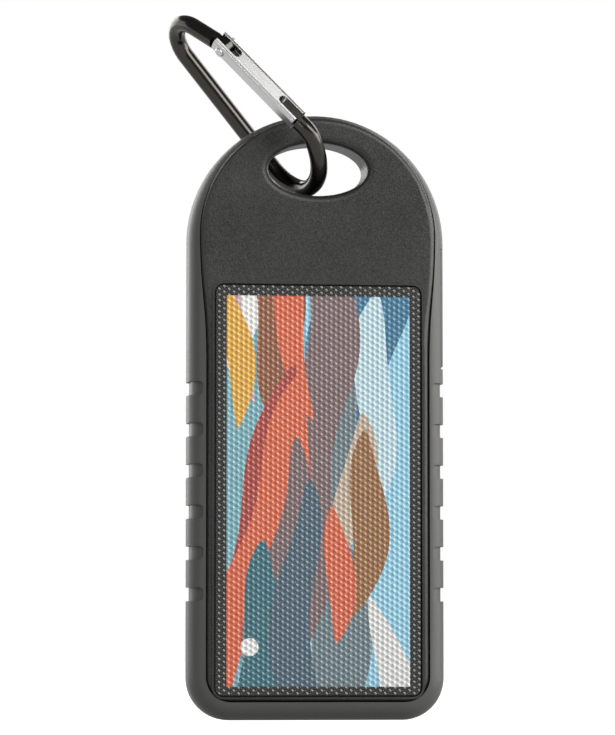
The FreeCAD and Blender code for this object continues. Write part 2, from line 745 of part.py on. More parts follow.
def clip_gate():
    """Gate bar along its own x axis from the pivot pin, outer side at +y, then placed in the plane."""
    bar = Part.makeBox(gate_length, gate_depth, gate_width, V(-gate_tail, -gate_depth / 2, -gate_width / 2))
    long_edges = [e for e in bar.Edges if abs(e.BoundBox.XLength - gate_length) < pick_gap]
    bar = bar.makeFillet(gate_edge_r, long_edges)
    half = slot_width / 2
    hinge_cut = Part.makeBox(gate_tail + hinge_slot - half, gate_depth, slot_width,
                             V(-gate_tail, -gate_depth / 2, -half))
    hinge_end = Part.makeCylinder(half, gate_depth, V(hinge_slot - half, -gate_depth / 2, 0), Y_AXIS)
    nose_x = gate_length - gate_tail - nose_slot
    floor = -gate_depth / 2 + nose_web
    nose_cut = Part.makeBox(nose_slot, gate_depth, slot_width, V(nose_x + half, floor, -half))
    nose_end = Part.makeCylinder(half, gate_depth, V(nose_x + half, floor, 0), Y_AXIS)
    bore_length = spring_length + plunger_pin_length
    bore = Part.makeCylinder(spring_bore_r, bore_length, V(hinge_slot - half, 0, 0), X_AXIS)
    hole = Part.makeCylinder(pin_r, 2 * gate_width, V(0, 0, -gate_width))
    bar = bar.cut(hinge_cut).cut(hinge_end).cut(nose_cut).cut(nose_end).cut(bore).cut(hole)
    return bar


def to_clip_plane(solid):
    """From the gate's own axes to the carabiner's plane; the outer side faces away from the spine."""
    angle = math.degrees(math.atan2(gate_dir[1], gate_dir[0]))
    moved = solid.copy()
    moved.rotate(V(0, 0, 0), X_AXIS, 180)
    moved.rotate(V(0, 0, 0), Z_AXIS, angle)
    moved.translate(V(pin_l, pin_w, 0))
    return moved


def clip_pin():
    half = gate_width / 2
    pin = Part.makeCylinder(pin_r, gate_width, V(0, 0, -half))
    for side in (-1, 1):
        start = V(0, 0, side * half)
        head = Part.makeCylinder(pin_head_r, pin_head_height, start, Z_AXIS * side)
        outer_z = side * (half + pin_head_height)
        rim = [e for e in head.Edges
               if all(abs(v.Point.z - outer_z) < pick_gap for v in e.Vertexes) and e.BoundBox.ZLength < pick_gap]
        pin = pin.fuse(head.makeFillet(pin_head_edge_r, rim))
    return pin.removeSplitter()


def clip_spring():
    """Coil in the gate's bore, pressing the plunger on the hinge tongue."""
    start = tongue_width / 2 + spring_play + plunger_pin_length
    length = hinge_slot - slot_width / 2 + spring_length + plunger_pin_length - start - 4 * spring_play
    coil_r = spring_bore_r - spring_wire_r - spring_play
    helix = Part.makeHelix(length / spring_turns, length, coil_r)
    profile = Part.Wire([Part.makeCircle(spring_wire_r, V(coil_r, 0, 0), Y_AXIS)])
    coil = Part.Wire(helix.Edges).makePipeShell([profile], True, True)
    coil.rotate(V(0, 0, 0), Y_AXIS, 90)
    coil.translate(V(start + 2 * spring_play, 0, 0))
    plunger = Part.makeCylinder(spring_bore_r - spring_play, plunger_pin_length,
                                V(start - plunger_pin_length, 0, 0), X_AXIS)
    return coil, plunger


def clip_placement():
    lean, twist = math.radians(clip_lean), math.radians(clip_twist)
    along = V(-math.sin(lean), 0, math.cos(lean))
    side = V(math.cos(lean), 0, math.sin(lean))
    across = V(0, -math.cos(twist), 0) + side * math.sin(twist)
    normal = along.cross(across)
    m = FreeCAD.Matrix(along.x, across.x, normal.x, clip_origin.x,
                       along.y, across.y, normal.y, clip_origin.y,
                       along.z, across.z, normal.z, clip_origin.z,
                       0, 0, 0, 1)
    return FreeCAD.Placement(m)


def build_carabiner():
    coil, plunger = clip_spring()
    pieces = {
        "carabiner_frame": clip_frame(),
        "carabiner_gate": to_clip_plane(clip_gate()),
        "gate_pin": to_clip_plane(clip_pin()),
        "gate_spring": to_clip_plane(coil),
        "gate_plunger": to_clip_plane(plunger),
    }
    place = clip_placement()
    for name, solid in pieces.items():
        placed = solid.copy()
        placed.Placement = place.multiply(solid.Placement)
        keep(name, placed)
    pin = place.multVec(V(pin_l, pin_w, 0))
    normal = place.Rotation.multVec(Z_AXIS)
    print("gate hinge", pin, normal)


build_shells()
outside = build_bumper()
build_port_cover(outside)
build_faces()
build_battery()
build_electronics()
build_controls()
build_screws()
build_carabiner()

os.makedirs("parts", exist_ok=True)
for name, solid in nodes.items():
    solid.exportStep("parts/" + name + ".step")
    b = solid.BoundBox
    print(name, len(solid.Solids), solid.isValid(), round(solid.Volume, 1),
          [round(v, 2) for v in (b.XMin, b.XMax, b.YMin, b.YMax, b.ZMin, b.ZMax)])
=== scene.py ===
import math
import bmesh
import bpy
from mathutils import Matrix, Quaternion, Vector


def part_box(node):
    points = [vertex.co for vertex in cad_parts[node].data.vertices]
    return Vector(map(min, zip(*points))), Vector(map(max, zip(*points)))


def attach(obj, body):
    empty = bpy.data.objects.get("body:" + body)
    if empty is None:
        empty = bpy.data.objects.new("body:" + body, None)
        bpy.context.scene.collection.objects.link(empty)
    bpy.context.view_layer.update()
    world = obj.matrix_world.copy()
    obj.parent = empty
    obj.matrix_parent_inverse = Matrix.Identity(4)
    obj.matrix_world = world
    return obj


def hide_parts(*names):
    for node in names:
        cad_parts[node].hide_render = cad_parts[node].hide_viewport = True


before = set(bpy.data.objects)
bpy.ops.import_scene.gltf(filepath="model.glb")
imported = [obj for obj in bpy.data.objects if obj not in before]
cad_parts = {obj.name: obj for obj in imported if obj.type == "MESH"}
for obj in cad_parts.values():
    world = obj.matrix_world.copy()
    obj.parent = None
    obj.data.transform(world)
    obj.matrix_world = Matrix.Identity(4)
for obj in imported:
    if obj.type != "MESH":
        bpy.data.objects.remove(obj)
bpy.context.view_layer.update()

mm = 0.001
scene = bpy.context.scene
print("frame loaded:", len(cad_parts), "nodes")

cameraSet = {
    "target": (-0.00248, -0.00546, 0.0823),
    "azimuth": -8.0,      # degrees round from the front
    "elevation": -4.0,
    "distance": 0.95,
    "lens": 198.8, "sensor": 36.0,
    "near": 0.01, "far": 50.0,
}
white = (1, 1, 1, 1)
black = (0, 0, 0, 1)


# unit vector at these degrees round from the front and above the horizon
def heading(turn, rise):
    turn, rise = math.radians(turn), math.radians(rise)
    level = math.cos(rise)
    return Vector((math.sin(turn) * level, -math.cos(turn) * level, math.sin(rise)))


def aim(item, place, target):
    item.location = place
    item.rotation_mode = "QUATERNION"
    item.rotation_quaternion = (Vector(target) - Vector(place)).to_track_quat("-Z", "Y")


def makeCamera():
    data = bpy.data.cameras.new("camera")
    data.lens = cameraSet["lens"]
    data.sensor_width = cameraSet["sensor"]
    data.clip_start, data.clip_end = cameraSet["near"], cameraSet["far"]
    camera = bpy.data.objects.new("camera", data)
    scene.collection.objects.link(camera)
    target = Vector(cameraSet["target"])
    back = heading(cameraSet["azimuth"], cameraSet["elevation"])
    aim(camera, target + back * cameraSet["distance"], target)
    scene.camera = camera


# helpers for shader nodes: a value is a number, a colour or another node's socket
def feed(tree, socket, value):
    if isinstance(value, bpy.types.NodeSocket):
        tree.links.new(value, socket)
    else:
        socket.default_value = value


def addNode(tree, kind, settings=None, **inputs):
    node = tree.nodes.new("ShaderNode" + kind)
    for name, value in (settings or {}).items():
        setattr(node, name, value)
    for name, value in inputs.items():
        feed(tree, node.inputs[name.replace("_", " ")], value)
    return node


# nodes whose sockets share a name are fed in order
def ordered(tree, kind, operation, *values):
    node = addNode(tree, kind, {"operation": operation})
    for socket, value in zip(node.inputs, values):
        feed(tree, socket, value)
    return node.outputs[0]


def mathNode(tree, operation, *values):
    return ordered(tree, "Math", operation, *values)


def clamped(tree, value):
    return addNode(tree, "Clamp", Value=value).outputs[0]


def mixColours(tree, factor, under, over):
    mix = addNode(tree, "Mix", {"data_type": "RGBA"}, Factor=factor)
    feed(tree, mix.inputs[6], under)
    feed(tree, mix.inputs[7], over)
    return mix.outputs[2]


# sRGB 0-255 to a linear colour
def linear(r, g, b):
    shares = [c / 255 for c in (r, g, b)]
    return tuple(c / 12.92 if c <= 0.04045 else ((c + 0.055) / 1.055) ** 2.4 for c in shares)


studio = {
    "backdrop": 1.0,      # what the camera sees behind the object
    "ambient": 0.16,
    "lampsFace": (0, 0, 0.08),
    "floorSize": 9.0,
    "floorTone": (0.3, 0.3, 0.3),
    "floorRoughness": 0.9,
    "floorShine": 0.42,   # the floor's own light in reflections, against 1 for the camera
}
lamps = {
    # round from the front, up, distance, (width, height), roll, radiance, tint
    "keyBox": (44, 22, 1.0, (1.1, 0.5), -40, 5.8, (1.0, 0.99, 0.96)),
    "sideBox": (84, 4, 1.0, (0.5, 0.7), 0, 5.0, (1.0, 0.99, 0.97)),
    "leftRim": (-106, 10, 1.0, (0.6, 0.9), 0, 1.5, (0.98, 0.99, 1.0)),
    "leftStrip": (-40, 22, 1.0, (0.05, 0.9), 0, 9.0, (1.0, 1.0, 1.0)),
    "frontFill": (-12, 40, 1.3, (1.0, 0.6), 0, 0.9, (1.0, 1.0, 1.0)),
    "rearRight": (132, 24, 1.1, (0.9, 0.8), 0, 2.3, (1.0, 1.0, 1.0)),
    "rearLeft": (-146, 20, 1.1, (0.9, 0.8), 0, 3.2, (1.0, 0.99, 0.97)),
}


def makeLamp(name, turn, rise, far, size, roll, radiance, tint):
    data = bpy.data.lights.new(name, "AREA")
    data.shape = "RECTANGLE"
    data.size, data.size_y = size
    data.energy = radiance * math.pi * size[0] * size[1]
    data.color = tint
    lamp = bpy.data.objects.new(name, data)
    scene.collection.objects.link(lamp)
    centre = Vector(studio["lampsFace"])
    aim(lamp, centre + heading(turn, rise) * far, centre)
    rolled = Quaternion((0, 0, 1), math.radians(roll))
    lamp.rotation_quaternion = lamp.rotation_quaternion @ rolled


def makeStudio():
    world = bpy.data.worlds.new("studio")
    scene.world = world
    world.use_nodes = True
    tree = world.node_tree
    tree.nodes.clear()
    seen = addNode(tree, "Background", Color=white, Strength=studio["backdrop"])
    soft = addNode(tree, "Background", Color=white, Strength=studio["ambient"])
    mix = addNode(tree, "MixShader", Fac=addNode(tree, "LightPath").outputs["Is Camera Ray"])
    tree.links.new(soft.outputs[0], mix.inputs[1])
    tree.links.new(seen.outputs[0], mix.inputs[2])
    addNode(tree, "OutputWorld", Surface=mix.outputs[0])
    for name, values in lamps.items():
        makeLamp(name, *values)
    scene.view_settings.view_transform = "Standard"


def makeFloor():
    bm = bmesh.new()
    bmesh.ops.create_grid(bm, x_segments=2, y_segments=2, size=studio["floorSize"] / 2)
    mesh = bpy.data.meshes.new("floor")
    bm.to_mesh(mesh)
    bm.free()
    floor = bpy.data.objects.new("floor", mesh)
    scene.collection.objects.link(floor)
    material = bpy.data.materials.new("floorPaper")
    material.use_nodes = True
    tree = material.node_tree
    shader = tree.nodes["Principled BSDF"]
    shader.inputs["Base Color"].default_value = (*studio["floorTone"], 1)
    shader.inputs["Roughness"].default_value = studio["floorRoughness"]
    shader.inputs["Emission Color"].default_value = white
    path = addNode(tree, "LightPath").outputs
    glow = mathNode(tree, "MULTIPLY_ADD", path["Is Glossy Ray"], studio["floorShine"],
                    path["Is Camera Ray"])
    tree.links.new(glow, shader.inputs["Emission Strength"])
    mesh.materials.append(material)


makeCamera()
makeStudio()
makeFloor()
print("camera, light and floor made")


# an empty shader group with named sockets
def newGroup(name, inputs, outputs):
    tree = bpy.data.node_groups.new(name, "ShaderNodeTree")
    for label, kind, value in inputs:
        socket = tree.interface.new_socket(label, in_out="INPUT", socket_type="NodeSocket" + kind)
        if value is not None:
            socket.default_value = value
    for label, kind in outputs:
        tree.interface.new_socket(label, in_out="OUTPUT", socket_type="NodeSocket" + kind)
    given = tree.nodes.new("NodeGroupInput").outputs
    return tree, given, tree.nodes.new("NodeGroupOutput").inputs


def placeGroup(tree, group, **inputs):
    node = tree.nodes.new("ShaderNodeGroup")
    node.node_tree = group
    for name, value in inputs.items():
        feed(tree, node.inputs[name.replace("_", " ")], value)
    return node.outputs


# sockets that both grain groups have
grainInputs = [
    ("Vector", "Vector", None), ("Tone", "Color", (0.5, 0.5, 0.5, 1)), ("Lift", "Float", 0.2),
    ("Gloss", "Float", 0.5), ("Gloss Spread", "Float", 0.1),
]
grainOutputs = [("Color", "Color"), ("Roughness", "Float"), ("Height", "Float")]


# brightness and gloss swing about their middle values by the two noise amounts
def finishGrain(tree, given, out, amount, worn, lift, height):
    brighter = mathNode(tree, "MULTIPLY_ADD", mathNode(tree, "SUBTRACT", amount, 0.5), lift, 1.0)
    colour = addNode(tree, "VectorMath", {"operation": "SCALE"}, Scale=brighter)
    tree.links.new(given["Tone"], colour.inputs[0])
    gloss = mathNode(tree, "MULTIPLY_ADD", mathNode(tree, "SUBTRACT", worn, 0.5),
                     given["Gloss Spread"], given["Gloss"])
    tree.links.new(colour.outputs[0], out["Color"])
    tree.links.new(gloss, out["Roughness"])
    tree.links.new(height, out["Height"])
    return tree


mouldLook = {
    "fineDetail": 3.0, "fineRoughness": 0.7,
    "cellScale": 0.55, "cellSmooth": 0.6,     # cells against the fine pitch
    "wideDetail": 4.0,
    "heightShares": (0.6, 0.7),               # fine, cells
    "toneShares": (0.85, 0.15),               # fine, wide
    "liftScale": 4.0,
}


def weighted(tree, first, second, shares):
    return mathNode(tree, "ADD", mathNode(tree, "MULTIPLY", first, shares[0]),
                    mathNode(tree, "MULTIPLY", second, shares[1]))


# the fine spark texture that a mould leaves, with faint handling marks
def makeMouldGrain():
    tree, given, out = newGroup(
        "mouldGrain", grainInputs + [("Pitch", "Float", 2200.0), ("Mottle", "Float", 60.0)],
        grainOutputs)
    fine = addNode(tree, "TexNoise", Vector=given["Vector"], Scale=given["Pitch"],
                   Detail=mouldLook["fineDetail"], Roughness=mouldLook["fineRoughness"])
    cellPitch = mathNode(tree, "MULTIPLY", given["Pitch"], mouldLook["cellScale"])
    cells = addNode(tree, "TexVoronoi", {"feature": "SMOOTH_F1"}, Vector=given["Vector"],
                    Scale=cellPitch, Smoothness=mouldLook["cellSmooth"])
    wide = addNode(tree, "TexNoise", Vector=given["Vector"], Scale=given["Mottle"],
                   Detail=mouldLook["wideDetail"])
    fine, wide = fine.outputs["Fac"], wide.outputs["Fac"]
    height = weighted(tree, fine, cells.outputs["Distance"], mouldLook["heightShares"])
    amount = weighted(tree, fine, wide, mouldLook["toneShares"])
    lift = mathNode(tree, "MULTIPLY", given["Lift"], mouldLook["liftScale"])
    return finishGrain(tree, given, out, amount, wide, lift, height)


drawnLook = {
    "lines": 2600.0, "linesDetail": 2.0,
    "wide": 240.0, "wideDetail": 2.0,
    "squeeze": -0.985,      # share of the distance along the bar that is taken off
    "glossShares": (0.5, 0.5),
}


# fine lines left along a drawn or ground bar
def makeDrawnGrain():
    tree, given, out = newGroup(
        "drawnGrain", grainInputs + [("Axis", "Vector", (0, 0, 1))], grainOutputs)
    along = ordered(tree, "VectorMath", "PROJECT", given["Vector"], given["Axis"])
    squeezed = addNode(tree, "VectorMath", {"operation": "SCALE"}, Scale=drawnLook["squeeze"])
    tree.links.new(along, squeezed.inputs[0])
    place = ordered(tree, "VectorMath", "ADD", given["Vector"], squeezed.outputs[0])
    lines = addNode(tree, "TexNoise", Vector=place, Scale=drawnLook["lines"],
                    Detail=drawnLook["linesDetail"]).outputs["Fac"]
    wide = addNode(tree, "TexNoise", Vector=given["Vector"], Scale=drawnLook["wide"],
                   Detail=drawnLook["wideDetail"]).outputs["Fac"]
    worn = weighted(tree, lines, wide, drawnLook["glossShares"])
    return finishGrain(tree, given, out, lines, worn, given["Lift"], lines)


drawnGrain = makeDrawnGrain()
mouldGrain = makeMouldGrain()


# a material with a plain Principled shader
def newMaterial(name, **values):
    material = bpy.data.materials.new(name)
    material.use_nodes = True
    tree = material.node_tree
    shader = tree.nodes["Principled BSDF"]
    for label, value in values.items():
        shader.inputs[label.replace("_", " ")].default_value = value
    return material, tree, shader


def objectPlace(tree):
    return addNode(tree, "TexCoord").outputs["Object"]


def wearGrain(tree, shader, grain, bump, depth):
    raised = addNode(tree, "Bump", Strength=bump, Distance=depth, Height=grain["Height"])
    tree.links.new(grain["Color"], shader.inputs["Base Color"])
    tree.links.new(grain["Roughness"], shader.inputs["Roughness"])
    tree.links.new(raised.outputs[0], shader.inputs["Normal"])


# a moulded or painted finish
def grained(name, tone, gloss, pitch=2200.0, mottle=60.0, lift=0.25, spread=0.08, bump=0.2,
            depth=0.02 * mm, **values):
    material, tree, shader = newMaterial(name, **values)
    grain = placeGroup(tree, mouldGrain, Vector=objectPlace(tree), Pitch=pitch, Mottle=mottle,
                       Tone=(*tone, 1), Lift=lift, Gloss=gloss, Gloss_Spread=spread)
    wearGrain(tree, shader, grain, bump, depth)
    return material


# a drawn metal bar
def drawn(name, tone, gloss, axis, lift=0.15, spread=0.2, bump=0.1, depth=0.01 * mm, **values):
    material, tree, shader = newMaterial(name, **values)
    grain = placeGroup(tree, drawnGrain, Vector=objectPlace(tree), Axis=axis, Tone=(*tone, 1),
                       Lift=lift, Gloss=gloss, Gloss_Spread=spread)
    wearGrain(tree, shader, grain, bump, depth)
    return material


crispness = 14.0      # masks are in mm, and their edges are 1/crispness wide


# 1 where the value is above zero, with a hair-thin soft edge
def crisp(tree, value):
    return clamped(tree, mathNode(tree, "MULTIPLY_ADD", value, crispness, 0.5))


# 1 between low and high
def insideMask(tree, value, low, high):
    middle, half = (low + high) / 2, (high - low) / 2
    away = mathNode(tree, "ABSOLUTE", mathNode(tree, "SUBTRACT", value, middle))
    return crisp(tree, mathNode(tree, "SUBTRACT", half, away))


# stripes of this width at each whole multiple of pitch
def repeatMask(tree, value, pitch, width):
    phase = mathNode(tree, "ABSOLUTE", mathNode(tree, "WRAP", value, pitch / 2, -pitch / 2))
    return insideMask(tree, phase, -width / 2, width / 2)


# cells, wires and tinned ribbons seen through a clear film; lengths in mm
solarPanel = {
    "columns": 2, "rows": 5, "gap": 1.2,
    "ribbon": 1.0, "ribbonPast": 1.0,
    "wirePitch": 1.4, "wire": 0.09, "wireShare": 0.5,
    "backing": (0.006, 0.006, 0.007), "silver": (0.35, 0.36, 0.38),
    "cell": (0.007, 0.012, 0.035), "cellLight": (0.014, 0.024, 0.07),
    "mottle": 90.0, "mottleDetail": 5.0, "mottleRoughness": 0.6,
    "gloss": 0.16, "coat": 0.6, "coatGloss": 0.06,
}


def solarFilm():
    panel = solarPanel
    low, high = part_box("solar_cells")
    halfX, halfZ = (high[0] - low[0]) / 2 / mm, (high[2] - low[2]) / 2 / mm
    stepX = (2 * halfX + panel["gap"]) / panel["columns"]
    stepZ = (2 * halfZ + panel["gap"]) / panel["rows"]
    cellWidth = stepX - panel["gap"]
    material, tree, shader = newMaterial(
        "solarFilm", Roughness=panel["gloss"], Coat_Weight=panel["coat"],
        Coat_Roughness=panel["coatGloss"])
    place = objectPlace(tree)
    axes = addNode(tree, "SeparateXYZ", Vector=place).outputs
    across = mathNode(tree, "MULTIPLY", axes["X"], 1 / mm)
    up = mathNode(tree, "MULTIPLY_ADD", axes["Z"], 1 / mm, -(low[2] + high[2]) / 2 / mm)

    field = mathNode(tree, "MULTIPLY", insideMask(tree, across, -halfX, halfX),
                     insideMask(tree, up, -halfZ, halfZ))
    gapX = repeatMask(tree, across, stepX, panel["gap"])
    gapZ = repeatMask(tree, mathNode(tree, "ADD", up, stepZ / 2), stepZ, panel["gap"])
    gaps = mathNode(tree, "MAXIMUM", gapX, gapZ)
    cells = mathNode(tree, "MULTIPLY", field, mathNode(tree, "SUBTRACT", 1.0, gaps))
    mottle = addNode(tree, "TexNoise", Vector=place, Scale=panel["mottle"],
                     Detail=panel["mottleDetail"], Roughness=panel["mottleRoughness"])
    silicon = mixColours(tree, mottle.outputs["Fac"], (*panel["cell"], 1),
                         (*panel["cellLight"], 1))
    colour = mixColours(tree, cells, (*panel["backing"], 1), silicon)

    wires = mathNode(tree, "MULTIPLY", repeatMask(tree, up, panel["wirePitch"], panel["wire"]),
                     cells)
    colour = mixColours(tree, mathNode(tree, "MULTIPLY", wires, panel["wireShare"]), colour,
                        (*panel["silver"], 1))

    # two ribbons down each column of cells, running a little past its ends
    fromMiddle = mathNode(tree, "ADD", mathNode(tree, "ABSOLUTE", across), -stepX / 2)
    fromRibbon = mathNode(tree, "ADD", fromMiddle, cellWidth / 4)
    ribbons = repeatMask(tree, fromRibbon, cellWidth / 2, panel["ribbon"])
    past = panel["ribbonPast"]
    for zone in (insideMask(tree, up, -halfZ - past, halfZ + past),
                 insideMask(tree, across, -halfX + past, halfX - past)):
        ribbons = mathNode(tree, "MULTIPLY", zone, ribbons)
    colour = mixColours(tree, ribbons, colour, (*panel["silver"], 1))
    tree.links.new(colour, shader.inputs["Base Color"])
    return material


# the two dimpled sheets, where each dimple is a hollow below the outer skin
dimples = {
    "pitch": 1.325 * mm,
    "sides": 12,                              # round each cell
    "rings": ((0.8, 0.62), (0.58, 0.1)),      # share of the cell, height share of the hollow
    "merge": 0.02,                            # share of the pitch
    "corner": 1.95 * mm, "cornerCuts": 6,     # of the sheet
}


# a sheet fills its CAD node's box, and side is -1 at the front and 1 at the rear
def sheetFrom(node, depth, side):
    low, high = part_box(node)
    back, skin = (low[1], high[1]) if side > 0 else (high[1], low[1])
    return {**dimples, "depth": depth, "side": side, "back": back, "bottom": skin - side * depth,
            "width": high[0] - low[0], "height": high[2] - low[2],
            "centre": ((low[0] + high[0]) / 2, (low[2] + high[2]) / 2)}


faceSheet = sheetFrom("face_plate", 0.24 * mm, -1)
solarSheet = sheetFrom("solar_laminate", 0.16 * mm, 1)

# flowing bands of flat colour on black
printArea = {
    "halfWidth": 21.6,    # mm
    "foot": 7.8,          # mm above the foot of the case
    "top": 99.0,
    "sky": (158, 214, 238),
    "border": (0.004, 0.004, 0.004),
    "gloss": 0.12, "clear": 1.7,
    # painted shade laid into the print at the bottoms of the hollows
    "paintedHollowShade": 0.3,
    "leanFrom": 45.0,     # the height at which a band stands at its own centre
    "dot": (-16.2, 9.2, 2.1),     # plain round mark: across, up from the print's foot, radius
    "dotTone": (0.92, 0.92, 0.92),
}
flows = [
    # tone, centre, lean, swing, turns, shift, half width, foot, top, fullness
    ((131, 186, 198), -18.0, 0.03, 1.4, 0.11, 0.4, 8.5, -60, 98, 0.35),
    ((247, 247, 246), -21.5, 0.05, 0.6, 0.15, 0.0, 9.0, 74, 150, 0.6),
    ((57, 126, 161), 8.6, 0.12, 2.6, 0.115, 3.2, 6.4, 40, 140, 0.5),
    ((200, 228, 239), 13.4, -0.02, 2.0, 0.12, 2.2, 6.0, 44, 93, 0.8),
    ((79, 130, 165), 4.4, 0.02, 3.0, 0.125, 1.2, 5.2, 50, 112, 0.45),
    ((113, 134, 142), 2.2, -0.02, 2.6, 0.105, 0.4, 7.2, -40, 80, 0.35),
    ((131, 109, 111), -2.6, 0.12, 2.2, 0.12, 4.6, 7.0, -16, 112, 0.4),
    ((154, 95, 62), -7.6, -0.06, 1.6, 0.13, 2.4, 5.8, 62, 130, 0.45),
    ((210, 176, 180), -12.4, -0.18, 1.5, 0.12, 0.9, 3.4, 66, 124, 0.6),
    ((236, 181, 71), -16.4, -0.12, 2.0, 0.12, 5.0, 3.4, 60, 99, 0.75),
    ((228, 110, 74), 3.4, -0.24, 2.0, 0.11, 2.9, 3.6, 62, 130, 0.6),
    ((183, 72, 62), -13.6, 0.24, 1.7, 0.12, 4.0, 4.6, -16, 75, 0.45),
    ((228, 110, 74), -10.0, 0.29, 2.4, 0.115, 3.3, 6.6, -6, 73, 0.5),
    ((131, 109, 111), -6.4, 0.16, 2.2, 0.12, 2.9, 4.4, -20, 58, 0.5),
    ((54, 116, 130), -10.2, 0.10, 1.9, 0.13, 0.8, 5.8, -40, 34, 0.55),
    ((77, 104, 122), -3.6, 0.05, 1.9, 0.12, 2.9, 5.0, -40, 48, 0.5),
    ((203, 184, 165), 8.0, 0.05, 2.2, 0.12, 1.0, 4.2, 28, 64, 0.65),
    ((160, 112, 66), 11.6, 0.12, 2.4, 0.115, 4.3, 4.4, 16, 60, 0.65),
    ((226, 110, 76), 5.2, 0.05, 1.8, 0.13, 5.4, 3.4, 10, 42, 0.7),
    ((231, 231, 231), 9.8, -0.16, 1.8, 0.12, 1.6, 4.2, -24, 21, 0.7),
]


# one wavy band that tapers to its foot and top, laid over the colour under it
def makeFlowBand():
    labels = ["Across", "Up", "Centre", "Lean", "Swing", "Turns", "Shift", "Half Width", "Foot",
              "Top", "Fullness"]
    tree, given, out = newGroup(
        "flowBand",
        [(label, "Float", 0.0) for label in labels]
        + [("Under", "Color", black), ("Tone", "Color", white)],
        [("Color", "Color")])
    span = mathNode(tree, "SUBTRACT", given["Top"], given["Foot"])
    risen = mathNode(tree, "SUBTRACT", given["Up"], given["Foot"])
    along = clamped(tree, mathNode(tree, "DIVIDE", risen, span))
    arch = mathNode(tree, "SINE", mathNode(tree, "MULTIPLY", along, math.pi))
    taper = mathNode(tree, "POWER", arch, given["Fullness"])
    wave = mathNode(tree, "SINE", mathNode(tree, "MULTIPLY_ADD", given["Up"], given["Turns"],
                                           given["Shift"]))
    middle = mathNode(tree, "MULTIPLY_ADD", wave, given["Swing"], given["Centre"])
    above = mathNode(tree, "SUBTRACT", given["Up"], printArea["leanFrom"])
    middle = mathNode(tree, "MULTIPLY_ADD", above, given["Lean"], middle)
    away = mathNode(tree, "ABSOLUTE", mathNode(tree, "SUBTRACT", given["Across"], middle))
    half = mathNode(tree, "MULTIPLY", given["Half Width"], taper)
    mask = crisp(tree, mathNode(tree, "SUBTRACT", half, away))
    tree.links.new(mixColours(tree, mask, given["Under"], given["Tone"]), out["Color"])
    return tree


def facePrint():
    band = makeFlowBand()
    material, tree, shader = newMaterial("facePrint", Roughness=printArea["gloss"],
                                         IOR=printArea["clear"])
    axes = addNode(tree, "SeparateXYZ", Vector=objectPlace(tree)).outputs
    across = mathNode(tree, "MULTIPLY", axes["X"], 1 / mm)
    up = mathNode(tree, "MULTIPLY_ADD", axes["Z"], 1 / mm, -printArea["foot"])
    colour = (*linear(*printArea["sky"]), 1)
    for tone, centre, lean, swing, turns, shift, half, foot, top, fullness in flows:
        colour = placeGroup(
            tree, band, Across=across, Up=up, Centre=centre, Lean=lean, Swing=swing, Turns=turns,
            Shift=shift, Half_Width=half, Foot=foot, Top=top, Fullness=fullness, Under=colour,
            Tone=(*linear(*tone), 1))["Color"]

    dotX, dotZ, dotR = printArea["dot"]
    squares = [mathNode(tree, "POWER", mathNode(tree, "SUBTRACT", value, middle), 2.0)
               for value, middle in ((across, dotX), (up, dotZ))]
    reach = mathNode(tree, "SQRT", mathNode(tree, "ADD", *squares))
    colour = mixColours(tree, insideMask(tree, reach, -dotR, dotR), colour,
                        (*printArea["dotTone"], 1))

    # painted shade: the print is darker towards the bottoms of the hollows
    depth, bottom = faceSheet["depth"], faceSheet["bottom"]
    deep = clamped(tree, mathNode(tree, "MULTIPLY_ADD", axes["Y"], 1 / depth, 1 - bottom / depth))
    colour = mixColours(tree, mathNode(tree, "MULTIPLY", deep, printArea["paintedHollowShade"]), colour,
                        black)

    half, high = printArea["halfWidth"], printArea["top"] - printArea["foot"]
    printed = mathNode(tree, "MULTIPLY", insideMask(tree, across, -half, half),
                       insideMask(tree, up, 0, high))
    colour = mixColours(tree, printed, (*printArea["border"], 1), colour)
    tree.links.new(colour, shader.inputs["Base Color"])
    return material


gateAxis = (0.6603, -0.2204, -0.7179)      # from the hinge to the nose

